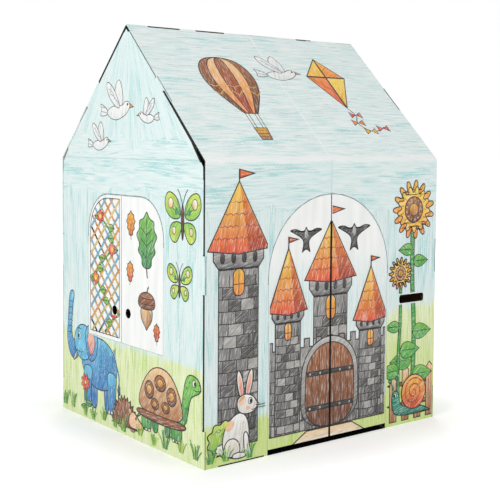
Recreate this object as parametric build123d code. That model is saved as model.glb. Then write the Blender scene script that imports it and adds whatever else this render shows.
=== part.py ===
from build123d import *
import os
from math import atan2, cos, hypot, sin, tan

# Cardboard playhouse of four folded, die-cut sheets of corrugated board, in millimetres.
# Two long sheets each make a wall and the roof slope above it, folded at the eave.
# Two gable sheets close the ends: flaps along their edges fold inwards against the long sheets,
# and tabs left flat between the flaps seat in notches in the long sheets' edges.
# X runs along the house, the doors face -Y, and Z is up from the floor at the middle of the house.

# The house over its outside faces
house_length = 870
house_depth = 780
wall_height = 800
roof_rise = 380

# The board, its folds, scores and cuts
board = 4
fold_radius = 1.5
score_width = 3
score_depth = 0.8
cut_gap = 0.6
joint_play = 0.3
overrun = 20

# Round-headed double door in the front wall
door_width = 450
door_height = 705
door_floor_gap = 15
door_seam = 3

# Letter slot beside the doors, and the shallow recess under the wall on their other side
slot_length = 105
slot_height = 25
slot_corner = 8
slot_level = 382
toe_recess = 3.5
corner_toe_width = 45
door_toe_width = 12

# Window in each gable, with two shutters of unequal width; offsets are towards the gable's own left
window_width = 414
window_height = 427
window_sill = 266
window_corner = 115
window_from_middle = 12
window_seam = 2
seam_from_middle = 27
finger_hole = 28
finger_hole_from_seam = 38
finger_hole_level = 357

# Tabs and folded flaps along the gable's edges
foot_tab_height = 100
wall_tab_level = 456
wall_tab_length = 100
roof_tab_from_ridge = 221
roof_tab_length = 100
flap_width = 50
flap_taper = 12
flap_slit = 3
flap_from_ridge = 24
flap_from_eave = 48
shoulder_cut_roof = 46
shoulder_cut_wall = 12

# Where the ridge fingers end, from one end of the ridge to its middle; the other half is their negative
finger_end_shares = (0.080, 0.207, 0.272, 0.391, 0.500)

# Sizes that follow from those above
half_length = house_length / 2
half_depth = house_depth / 2
ridge_height = wall_height + roof_rise
pitch = atan2(roof_rise, half_depth)
slope_length = hypot(roof_rise, half_depth)
fold_outer = fold_radius + board
roof_drop = board / cos(pitch)
inner_half_depth = half_depth - board
inner_ridge = ridge_height - roof_drop
door_spring = door_height - door_width / 2
slot_from_middle = (door_width / 2 + half_length) / 2

# Work planes of the printed faces: local X along the sheet, local Y up it, local Z out of it
front_plane = Plane(origin=(0, -half_depth, 0), x_dir=(1, 0, 0), z_dir=(0, -1, 0))
roof_plane = Plane(origin=(0, -half_depth, wall_height), x_dir=(1, 0, 0), z_dir=(0, -sin(pitch), cos(pitch)))
gable_plane = Plane(origin=(-half_length, 0, 0), x_dir=(0, -1, 0), z_dir=(-1, 0, 0))
turned = Rot(0, 0, 180)


def prism(outline, start, end):
    """Outline in Y and Z, drawn out along X."""
    return extrude(Plane.YZ.offset(start) * outline, amount=end - start)


def slab(plane, x_from, x_to, y_from, y_to, z_from, z_to):
    """Box between two corners in the coordinates of a work plane."""
    box = Box(x_to - x_from, y_to - y_from, z_to - z_from, align=(Align.MIN, Align.MIN, Align.MIN))
    return plane * Pos(x_from, y_from, z_from) * box


def through(plane, outline):
    """Outline drawn in a work plane, cut right through the board."""
    return extrude(plane.offset(overrun) * outline, amount=-2 * overrun - board)


def score(plane, x, y, turn, length):
    """Score line in a printed face, from a point and along a direction in its work plane."""
    groove = make_face(Polyline(
        (-score_width / 2, 0),
        (0, -score_depth),
        (score_width / 2, 0),
        (score_width / 2, overrun),
        (-score_width / 2, overrun),
        close=True,
    ))
    line = plane * Pos(x, y) * Rot(0, 0, turn)
    return line * extrude(Plane.XZ * groove, amount=-length)


def bent_strip(start, bend, end):
    """Section of the board folded once, from the three points of its outer face, bending to the right."""
    first = (Vector(*bend) - Vector(*start)).normalized()
    second = (Vector(*end) - Vector(*bend)).normalized()
    across_first = first.rotate(Axis.Z, -90) * board
    across_second = second.rotate(Axis.Z, -90) * board
    inner_bend = Vector(*bend) + (across_first + across_second) / (1 + first.dot(second))
    outer = FilletPolyline(start, bend, end, radius=fold_outer)
    inner = FilletPolyline(
        Vector(*start) + across_first,
        inner_bend,
        Vector(*end) + across_second,
        radius=fold_radius,
    )
    return make_face([outer, Line(outer @ 1, inner @ 1), inner, Line(inner @ 0, outer @ 0)])


def tab_spans():
    """Each gable tab as its work plane and its span up that plane."""
    roof_tab_top = slope_length - roof_tab_from_ridge
    return (
        (front_plane, 0, foot_tab_height),
        (front_plane, wall_tab_level, wall_tab_level + wall_tab_length),
        (roof_plane, roof_tab_top - roof_tab_length, roof_tab_top),
    )


def flap_spans():
    """Each glue flap of the gable as its work plane and its span up that plane, between the tabs."""
    roof_tab_top = slope_length - roof_tab_from_ridge
    return (
        (front_plane, foot_tab_height + flap_slit, wall_tab_level - flap_slit),
        (front_plane, wall_tab_level + wall_tab_length + flap_slit, wall_height - flap_from_eave),
        (roof_plane, flap_from_eave, roof_tab_top - roof_tab_length - flap_slit),
        (roof_plane, roof_tab_top + flap_slit, slope_length - flap_from_ridge),
    )


def finger_notches():
    """Spaces at the ridge that the fingers of the other long sheet fill."""
    fall = overrun * tan(pitch)
    above_other_sheet = make_face(Polyline(
        (-overrun, inner_ridge + fall),
        (overrun, inner_ridge - fall),
        (overrun, ridge_height + fall),
        (-overrun, ridge_height + fall),
        close=True,
    ))
    half_ends = (0, *finger_end_shares)
    ends = half_ends + tuple(1 - share for share in reversed(half_ends[:-1]))
    places = [house_length * share - half_length for share in ends]
    spans = zip(places[1::2], places[2::2])
    return [prism(above_other_sheet, start - joint_play / 2, end + joint_play / 2) for start, end in spans]


def tab_notches():
    """Notches in both side edges of a long sheet, where the gables' tabs seat."""
    depth = board + joint_play
    notches = []
    for plane, low, high in tab_spans():
        left = slab(
            plane,
            -half_length - overrun,
            -half_length + depth,
            low - joint_play,
            high + joint_play,
            -board - overrun,
            overrun,
        )
        notches += [left, mirror(left, about=Plane.YZ)]
    return notches


def long_sheet():
    """A wall and its roof slope, folded at the eave, with ridge fingers, tab notches and the middle score."""
    beyond_ridge = (overrun, ridge_height + overrun * tan(pitch))
    section = bent_strip((-half_depth, 0), (-half_depth, wall_height), beyond_ridge)
    envelope = make_face(Polyline(
        (-half_depth, 0),
        (-half_depth, wall_height),
        (0, ridge_height),
        (half_depth, wall_height),
        (half_depth, 0),
        close=True,
    ))
    sheet = prism(section & envelope, -half_length, half_length)
    sheet -= finger_notches()
    sheet -= tab_notches()
    sheet -= score(front_plane, 0, 0, 0, wall_height - fold_outer)
    sheet -= score(roof_plane, 0, fold_outer, 0, slope_length)
    return sheet


def door_outline(gap):
    """Doorway outline, drawn in by a gap all round."""
    half_width = door_width / 2 - gap
    jambs = Rectangle(2 * half_width, door_spring, align=(Align.CENTER, Align.MIN))
    return jambs + Pos(0, door_spring) * Circle(half_width)


def front_sheet():
    """Long sheet with the doorway, the letter slot and the recess under the wall left of the doors."""
    slot = Pos(slot_from_middle, slot_level) * RectangleRounded(slot_length, slot_height, slot_corner)
    recess = slab(
        front_plane,
        -half_length + corner_toe_width,
        -door_width / 2 - door_toe_width,
        -overrun,
        toe_recess,
        -board - overrun,
        overrun,
    )
    return long_sheet() - through(front_plane, door_outline(0)) - through(front_plane, slot) - recess


def door_leaf(side):
    """Leaf of the double door, on the -X side or the +X side of the seam."""
    inner_edge = side * door_seam / 2
    outer_edge = side * door_width
    reach = slab(
        front_plane,
        min(inner_edge, outer_edge),
        max(inner_edge, outer_edge),
        door_floor_gap,
        door_height,
        -board,
        0,
    )
    return extrude(front_plane * door_outline(cut_gap), amount=-board) & reach


def window_outline(gap):
    """Window outline with its two rounded top corners, drawn in by a gap all round."""
    frame = Rectangle(window_width - 2 * gap, window_height - 2 * gap)
    frame = fillet(frame.vertices().group_by(Axis.Y)[-1], radius=window_corner - gap)
    return Pos(-window_from_middle, window_sill + window_height / 2) * frame


def gable_plate():
    """Flat face of the gable inside its folds, with cut-back shoulders at the eaves."""
    side = inner_half_depth - fold_outer
    peak = inner_ridge - fold_outer / cos(pitch)
    eave = peak - side * tan(pitch)
    cut_side = side - shoulder_cut_roof * cos(pitch)
    cut_top = eave + shoulder_cut_roof * sin(pitch)
    half_outline = (
        (side, 0),
        (side, eave - shoulder_cut_wall),
        (cut_side, cut_top),
    )
    other_half = [(-x, y) for x, y in reversed(half_outline)]
    outline = make_face(Polyline(*half_outline, (0, peak), *other_half, close=True))
    return extrude(gable_plane * outline, amount=-board)


def gable_tab(plane, low, high):
    """Tab in the plane of the gable, ending flush with the printed face of the long sheet."""
    return slab(plane, -half_length, -half_length + board, low, high, -board - fold_outer - board, 0)


def gable_flap(plane, low, high):
    """Glue flap folded inwards against a long sheet, with tapered ends."""
    face_edge = -board - fold_outer - board
    corner = (-half_length, -board)
    section = bent_strip((-half_length, face_edge), corner, (-half_length + flap_width, -board))
    across = Plane(origin=plane.from_local_coords((0, high, 0)), x_dir=plane.x_dir, z_dir=-plane.y_dir)
    strip = extrude(across * section, amount=high - low)
    outline = make_face(Polyline(
        (-half_length, low),
        (-half_length + fold_outer, low),
        (-half_length + flap_width, low + flap_taper),
        (-half_length + flap_width, high - flap_taper),
        (-half_length + fold_outer, high),
        (-half_length, high),
        close=True,
    ))
    return strip & through(plane, outline)


def gable():
    """Left gable sheet: face, window, tabs and glue flaps."""
    edges = [gable_tab(*span) for span in tab_spans()] + [gable_flap(*span) for span in flap_spans()]
    sheet = gable_plate() + edges + [mirror(edge, about=Plane.XZ) for edge in edges]
    sheet -= through(gable_plane, window_outline(0))
    return sheet - score(gable_plane, -half_depth, wall_height, -90, house_depth)


def shutter(side):
    """Leaf of the left gable's window, on the +Y side or the -Y side of the seam."""
    seam = -seam_from_middle
    inner_edge = seam + side * window_seam / 2
    outer_edge = seam + side * window_width
    reach = slab(
        gable_plane,
        min(inner_edge, outer_edge),
        max(inner_edge, outer_edge),
        window_sill,
        window_sill + window_height,
        -board,
        0,
    )
    hole = Pos(seam + side * finger_hole_from_seam, finger_hole_level) * Circle(finger_hole / 2)
    return (extrude(gable_plane * window_outline(cut_gap), amount=-board) & reach) - through(gable_plane, hole)


nodes = {
    "front_sheet": front_sheet(),
    "rear_sheet": turned * long_sheet(),
    "left_gable": gable(),
    "right_gable": turned * gable(),
    "left_door": door_leaf(-1),
    "right_door": door_leaf(1),
    "left_front_shutter": shutter(1),
    "left_rear_shutter": shutter(-1),
    "right_front_shutter": turned * shutter(-1),
    "right_rear_shutter": turned * shutter(1),
}

os.makedirs("parts", exist_ok=True)
for name, node in nodes.items():
    export_step(node, f"parts/{name}.step")
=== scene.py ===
import math
import random
from collections import namedtuple
from functools import partial

import bmesh
import bpy
from mathutils import Matrix, Vector


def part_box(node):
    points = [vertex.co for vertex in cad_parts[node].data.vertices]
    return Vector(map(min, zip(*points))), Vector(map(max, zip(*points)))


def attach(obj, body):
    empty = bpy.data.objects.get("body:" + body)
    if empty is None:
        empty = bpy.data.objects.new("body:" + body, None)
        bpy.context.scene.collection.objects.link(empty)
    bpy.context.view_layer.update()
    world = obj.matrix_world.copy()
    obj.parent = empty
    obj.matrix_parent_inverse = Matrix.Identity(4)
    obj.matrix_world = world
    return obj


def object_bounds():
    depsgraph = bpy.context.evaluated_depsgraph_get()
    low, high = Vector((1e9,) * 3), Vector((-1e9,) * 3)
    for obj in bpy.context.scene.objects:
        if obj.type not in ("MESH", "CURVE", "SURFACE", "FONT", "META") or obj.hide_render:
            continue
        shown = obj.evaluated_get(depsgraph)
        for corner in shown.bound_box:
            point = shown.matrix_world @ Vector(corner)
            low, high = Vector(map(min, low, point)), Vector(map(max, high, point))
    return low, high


# Cardboard playhouse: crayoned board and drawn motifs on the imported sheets, seen from the left of its doors.

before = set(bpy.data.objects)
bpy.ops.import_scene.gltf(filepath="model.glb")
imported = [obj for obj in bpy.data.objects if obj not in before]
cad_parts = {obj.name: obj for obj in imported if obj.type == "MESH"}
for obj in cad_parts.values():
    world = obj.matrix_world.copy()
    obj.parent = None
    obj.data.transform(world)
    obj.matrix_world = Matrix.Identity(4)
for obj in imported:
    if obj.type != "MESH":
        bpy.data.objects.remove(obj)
cad_low, cad_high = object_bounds()

# The house in metres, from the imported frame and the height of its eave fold
mm = 0.001
eave = 800 * mm
half_length = cad_high.x
half_depth = cad_high.y
ridge = cad_high.z
pitch = math.atan2(ridge - eave, half_depth)
roof_slope = math.hypot(ridge - eave, half_depth)
board = 4 * mm
roof_tab_middle = 990 * mm

# Heights above the floor where the crayon strokes change direction or colour
upright_below = 660 * mm
gable_upright_below = 700 * mm
gable_fan_above = 850 * mm
gable_meadow = 258 * mm
door_meadow = 95 * mm
door_bare_from, door_bare_to = 380 * mm, 580 * mm

# Hill in the long sheets' meadow: its heights, where along the sheet it rises, and the meadows' soft edges
hill_low, hill_high = 115 * mm, 355 * mm
hill_from, hill_to = 40 * mm, 270 * mm
hill_blend, gable_blend = 16 * mm, 14 * mm

# Strokes that fan out below a gable's peak: their centre over the ridge and spread in metres a radian
fan_over, fan_spread = 60 * mm, 0.36

# Rubbed and scored lines, how dark the painted shade in the scores is, and how fully each sheet is waxed
fold_rub, middle_rub = 9 * mm, 1.4 * mm
rub_far, rub_near, rub_share = 1.7 * fold_rub, 0.3 * fold_rub, 0.7
fold_wander_share = 0.25
eave_score, fuller_below = 1.3 * mm, 45 * mm
wall_crease_shade_share, eave_crease_shade_share = 0.16, 0.13
wall_full_share, gable_full_share, eave_full_share = 0.06, 0.07, 0.13
gable_lush_share = 0.1

# Cut edges of the sheets: depths from the outer faces, and how far a face may turn before its print ends
tab_skin, tab_liner, bend_reach, inner_liner = board / 5, 0.55 * board, 3 * board, 1.5 * board
print_turn, bend_turn = 0.5, 0.46
end_zone, end_fade, liner_edge = 9 * mm, 90 * mm, 1.0 * mm

# Painted shade and dark cut ends of the other sheet's fingers along the ridge: middle and half width of each,
# and their depth
finger_end_shades = ((-310 * mm, 55 * mm), (-146 * mm, 52 * mm), (212 * mm, 20 * mm))
finger_band = 4.2 * mm

# Tips of a sheet's own fingers whose cut ends are faced with print
faced_tips = ((-400 * mm, 36 * mm), (-47 * mm, 48 * mm))
tip_print_share = 0.75

# Painted shade of the gap that opens along the gable's lower slope beside the doors, widest at the eave
gape_top, gape_turn, gape_foot = 985 * mm, 850 * mm, 796 * mm
gape_start, gape_growth, gape_mouth = 8 * mm, 3.5 * mm, 8 * mm

# Half the painted shade line where the doors meet, in the arch and below it
seam_shade_half, seam_shade_low_half, seam_shade_turn = 1.6 * mm, 3.8 * mm, 630 * mm

# Wax on the board: strokes are drawn coarser than a real crayon's, so that they show at the picture's scale
stroke_length, stroke_width = 90 * mm, 4.4 * mm
cluster_length, cluster_width = 240 * mm, 28 * mm
tooth_size, tooth_share = 5 * mm, 0.3
hand_sway, sway_size = 22 * mm, 300 * mm
ragged_edge, ragged_size = 60 * mm, 70 * mm
turn_share = 2.4
scratch_length, scratch_width = 70 * mm, 4.6 * mm
cluster_start, scratch_start = (0.3, 0.7, 0), (0.6, 0.2, 0)
wax_relief, crayon_relief = 0.12 * mm, 0.1 * mm
flute_pitch, rib_share = 7.5 * mm, 0.07
mottle_size = 24 * mm

# Drawn films in millimetres: depth and height, steps of layers and curves, pencil widths, clear margins
film_sink = 0.1
film_lift = 0.22
film_step = 0.06
film_turns, film_turn = 9, 0.006
film_weld = 0.01
pencil = 3.1
thin_pencil = 2.2
fine_pencil = 2.0
curve_steps = 5
edge_margin = 7
cut_margin = 3.5
crease_clear = 4.5

# Start of a film's streaks from those of the one before, and how upright a film's side is
across_start, up_start = 0.37, 0.61
side_turn = 0.5

# Camera of the photograph: place in metres, angles in degrees, pixels, and the sensor in millimetres
camera_place = Vector((-1.9225, -2.4935, 0.845))
camera_yaw = 37.806
camera_dip = 3.189
camera_roll = 0.388
focal_pixels = 1011.8
picture_pixels = 500
horizon_row = 200
sensor_width = 36.0

# Crayon and pencil colours
ink = "#1D1B1A"
paper = "#F6F6F3"
cream = "#F3EBDD"
pale_stone = "#BDBAB6"
stone = "#959290"
dark_stone = "#646261"
soot = "#454342"
rust = "#A83A26"
red = "#DE4630"
orange = "#EF8A34"
amber = "#F3B845"
yellow = "#F8D75F"
lime = "#CFE056"
leaf_green = "#7CBF45"
grass = "#4FA84E"
deep_green = "#2C8650"
teal = "#46AE8E"
deep_teal = "#287A68"
sky_blue = "#66BEDF"
deep_blue = "#2C78BA"
brown = "#A5673F"
dark_brown = "#6C412B"
tan = "#F1CB98"
peach = "#F1BCA2"
rose = "#E58A86"


def linear(colour):
    """Linear colour, with alpha, of an sRGB hex value."""
    parts = [int(colour[i : i + 2], 16) / 255 for i in (1, 3, 5)]
    return [p / 12.92 if p <= 0.04045 else ((p + 0.055) / 1.055) ** 2.4 for p in parts] + [1.0]


def add(tree, kind, *inputs, stops=(), **words):
    """Add a node with its settings, colour stops and inputs, and return its output, or all if it has more.

    Inputs come in their order or by their names, which begin with a capital. Any other word is a setting.
    """
    made = tree.nodes.new("ShaderNode" + kind)
    named = {word: value for word, value in words.items() if word[0].isupper()}
    for setting in words.keys() - named.keys():
        setattr(made, setting, words[setting])
    for index, (place, colour) in enumerate(stops):
        elements = made.color_ramp.elements
        element = elements[index] if index < len(elements) else elements.new(place)
        element.position = place
        element.color = linear(colour)
    in_use = [socket for socket in made.inputs if socket.enabled]
    links = [*zip(in_use, inputs), *((made.inputs[name], value) for name, value in named.items())]
    for socket, value in links:
        if isinstance(value, bpy.types.NodeSocket):
            tree.links.new(value, socket)
        else:
            socket.default_value = value
    outputs = [socket for socket in made.outputs if socket.enabled]
    return outputs[0] if len(outputs) == 1 else made.outputs


def into(owner):
    """Empty the node tree of a new material or world, and return what adds nodes to it."""
    owner.use_nodes = True
    owner.node_tree.nodes.clear()
    return partial(add, owner.node_tree)


# Settings that many nodes share
smooth = {"interpolation_type": "SMOOTHSTEP"}
coloured = {"data_type": "RGBA"}

# Corrugated board: how each sheet is crayoned

# A coat's dark part is painted shade in scores, seams, gaps and at finger ends, mixed to the near-black cut
# colour
coat_parts = "place meadow lush bare print_from pale_edge inside dark ends fullness"
Coat = namedtuple("Coat", coat_parts, defaults=(print_turn, 0.0, 0.0, 0.0, 0.0, 0.0))


def depth_in(put, y, z):
    """How far a point lies behind the outer face of the nearest wall or roof."""
    out = put("Math", y, operation="ABSOLUTE")
    from_wall = put("Math", half_depth, out, operation="SUBTRACT")
    below_ridge = put("Math", ridge, z, operation="SUBTRACT")
    lean = put("Math", out, math.sin(pitch), operation="MULTIPLY")
    drop = put("Math", below_ridge, math.cos(pitch), operation="MULTIPLY")
    from_roof = put("Math", drop, lean, operation="SUBTRACT")
    return put("Math", from_wall, from_roof, operation="MINIMUM")


def along_ridge(put, x, z, stretches):
    """Where a point lies on one of some stretches of the ridge, each a middle and a half width."""
    here = 0.0
    for middle, half in stretches:
        this_one = put("Math", x, middle, half, operation="COMPARE")
        here = put("Math", this_one, here, operation="MAXIMUM")
    at_ridge = put("Math", z, ridge - finger_band, operation="GREATER_THAN")
    return put("Math", here, at_ridge, operation="MULTIPLY")


def front_sheet_coat(put, x, y, z, ragged):
    """Sky strokes lie along the roof and upper wall and stand on the lower wall, above a rolling meadow."""
    height = put("Math", z, ragged, operation="ADD")
    lying = put("CombineXYZ", x, z)
    standing = put("CombineXYZ", z, x)
    turning = put("Math", ragged, turn_share, z, operation="MULTIPLY_ADD")
    high = put("Math", turning, upright_below, operation="GREATER_THAN")
    place = put("Mix", high, standing, lying, data_type="VECTOR")
    hill = put("MapRange", x, hill_from, hill_to, hill_low, hill_high, **smooth)
    over_hill = put("Math", height, hill, operation="SUBTRACT")
    meadow = put("MapRange", over_hill, hill_blend, -hill_blend, **smooth)
    lush = put("MapRange", z, hill_high, hill_low)
    over_fold = put("Math", z, eave + fold_rub / 2, operation="SUBTRACT")
    uneven = put("Math", ragged, fold_wander_share, over_fold, operation="MULTIPLY_ADD")
    from_fold = put("Math", uneven, operation="ABSOLUTE")
    faint_fold = put("MapRange", from_fold, rub_far, rub_near, 0.0, rub_share, **smooth)
    middle = put("Math", x, 0.0, middle_rub, operation="COMPARE")
    on_wall = put("Math", z, eave, operation="LESS_THAN")
    roof_score = put("Math", middle, on_wall, operation="GREATER_THAN")
    # Painted shade in the score down the middle of the wall
    wall_crease_shade = put("Math", middle, on_wall, operation="MULTIPLY")
    bare = put("Math", faint_fold, roof_score, operation="MAXIMUM")
    across = put("Math", x, operation="ABSOLUTE")
    at_end = put("Math", across, half_length - end_zone, operation="GREATER_THAN")
    above_tab = put("Math", z, roof_tab_middle, operation="GREATER_THAN")
    liner = put("Math", depth_in(put, y, z), liner_edge, operation="LESS_THAN")
    upper_end = put("Math", at_end, above_tab, operation="MULTIPLY")
    pale = put("Math", upper_end, liner, operation="MULTIPLY")
    faced = along_ridge(put, x, z, faced_tips)
    pale = put("Math", faced, tip_print_share, pale, operation="MULTIPLY_ADD", use_clamp=True)
    # Painted shade: the other sheet's finger ends along the ridge
    finger_shade = along_ridge(put, x, z, finger_end_shades)
    dark = put("Math", wall_crease_shade, wall_crease_shade_share, finger_shade, operation="MULTIPLY_ADD", use_clamp=True)
    fullness = put("Math", on_wall, wall_full_share, operation="MULTIPLY")
    return Coat(place, meadow, lush, bare, pale_edge=pale, dark=dark, ends=at_end, fullness=fullness)


def rear_sheet_coat(put, x, y, z, ragged):
    """As the front sheet turned about, with its cut ends rubbed pale below the middle of the roof."""
    turned = put("Math", x, -1.0, operation="MULTIPLY")
    coat = front_sheet_coat(put, turned, y, z, ragged)
    low = put("MapRange", z, roof_tab_middle, roof_tab_middle - end_fade)
    low_end = put("Math", coat.ends, low, operation="MULTIPLY")
    faced = along_ridge(put, turned, z, faced_tips)
    pale = put("Math", faced, tip_print_share, low_end, operation="MULTIPLY_ADD", use_clamp=True)
    return coat._replace(pale_edge=pale)


def gable_coat(put, x, y, z, ragged):
    """Strokes fan out from the peak, lie along the eave line and stand below it, above a level meadow."""
    height = put("Math", z, ragged, operation="ADD")
    drop = put("Math", ridge + fan_over, z, operation="SUBTRACT")
    angle = put("Math", y, drop, operation="ARCTAN2")
    spread = put("Math", angle, fan_spread, operation="MULTIPLY")
    fanned = put("CombineXYZ", drop, spread)
    lying = put("CombineXYZ", y, z)
    standing = put("CombineXYZ", z, y)
    turning = put("Math", ragged, turn_share, z, operation="MULTIPLY_ADD")
    above_eave = put("Math", turning, gable_fan_above, operation="GREATER_THAN")
    above_window = put("Math", turning, gable_upright_below, operation="GREATER_THAN")
    upper = put("Mix", above_eave, lying, fanned, data_type="VECTOR")
    place = put("Mix", above_window, standing, upper, data_type="VECTOR")
    meadow = put("MapRange", height, gable_meadow + gable_blend, gable_meadow - gable_blend, **smooth)
    from_face = depth_in(put, y, z)
    at_face = put("Math", from_face, tab_skin, operation="LESS_THAN")
    across = put("Math", x, operation="ABSOLUTE")
    outer_liner = put("Math", across, half_length - tab_liner, operation="GREATER_THAN")
    on_roof = put("Math", z, eave, operation="GREATER_THAN")
    on_right = put("Math", x, 0.0, operation="GREATER_THAN")
    dark_tab = put("Math", on_roof, on_right, operation="MULTIPLY")
    pale_tab = put("Math", outer_liner, dark_tab, operation="GREATER_THAN")
    tab_end = put("Math", at_face, pale_tab, operation="MULTIPLY")
    low = put("Math", z, roof_tab_middle, operation="LESS_THAN")
    # Near the doors the print ends sooner on the low bend, so it shows the near-black cut colour as painted
    # shade
    near = put("Math", y, 0.0, operation="LESS_THAN")
    on_bend = put("Math", from_face, bend_reach, operation="LESS_THAN")
    low_bend = put("Math", low, on_bend, operation="MULTIPLY")
    bend_shade = put("Math", low_bend, near, operation="MULTIPLY")
    print_from = put("Math", bend_shade, bend_turn, print_turn, operation="MULTIPLY_ADD")
    inside = put("Math", across, half_length - inner_liner, operation="LESS_THAN")
    # Painted shade of the gap beside the doors: a dark wedge along the lower slope, widest at the eave
    slow = put("MapRange", z, gape_top, gape_foot, gape_start, gape_start + gape_growth)
    quick = put("MapRange", z, gape_turn, gape_foot, 0.0, gape_mouth)
    gape = put("Math", slow, quick, operation="ADD")
    in_gap_shade = put("Math", from_face, gape, operation="LESS_THAN")
    gape_middle, gape_half = (gape_top + gape_foot) / 2, (gape_top - gape_foot) / 2
    beside_doors = put("Math", y, x, operation="MAXIMUM")
    this_corner = put("Math", beside_doors, 0.0, operation="LESS_THAN")
    this_height = put("Math", z, gape_middle, gape_half, operation="COMPARE")
    open_here = put("Math", this_corner, this_height, operation="MULTIPLY")
    off_tab = put("Math", open_here, tab_end, operation="GREATER_THAN")
    gap_shade = put("Math", in_gap_shade, off_tab, operation="MULTIPLY")
    # Painted shade in the eave score
    score = put("Math", z, eave, eave_score, operation="COMPARE")
    dark = put("Math", score, eave_crease_shade_share, gap_shade, operation="MULTIPLY_ADD", use_clamp=True)
    under_score = put("MapRange", z, eave - fuller_below, eave, gable_full_share, eave_full_share)
    below = put("Math", z, eave, operation="LESS_THAN")
    fullness = put("Mix", below, gable_full_share, under_score)
    return Coat(place, meadow, gable_lush_share, 0.0, print_from, tab_end, inside, dark, fullness=fullness)


def door_coat(put, x, y, z, ragged):
    """Bare white board in the arch, sky strokes below it and grass at the foot."""
    height = put("Math", z, ragged, operation="ADD")
    place = put("CombineXYZ", z, x)
    meadow = put("Math", height, door_meadow, operation="LESS_THAN")
    bare = put("MapRange", height, door_bare_from, door_bare_to, **smooth)
    # Painted shade along the seam where the doors meet, wider below the arch
    low = put("Math", z, seam_shade_turn, operation="LESS_THAN")
    seam_shade_reach = put("MapRange", low, 0.0, 1.0, seam_shade_half, seam_shade_low_half)
    across = put("Math", x, operation="ABSOLUTE")
    seam = put("Math", across, seam_shade_reach, operation="LESS_THAN")
    return Coat(place, meadow, 1.0, bare, dark=seam)


def shutter_coat(put, x, y, z, ragged):
    """Bare white board."""
    place = put("CombineXYZ", z, y)
    return Coat(place, 0.0, 0.0, 1.0)


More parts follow.
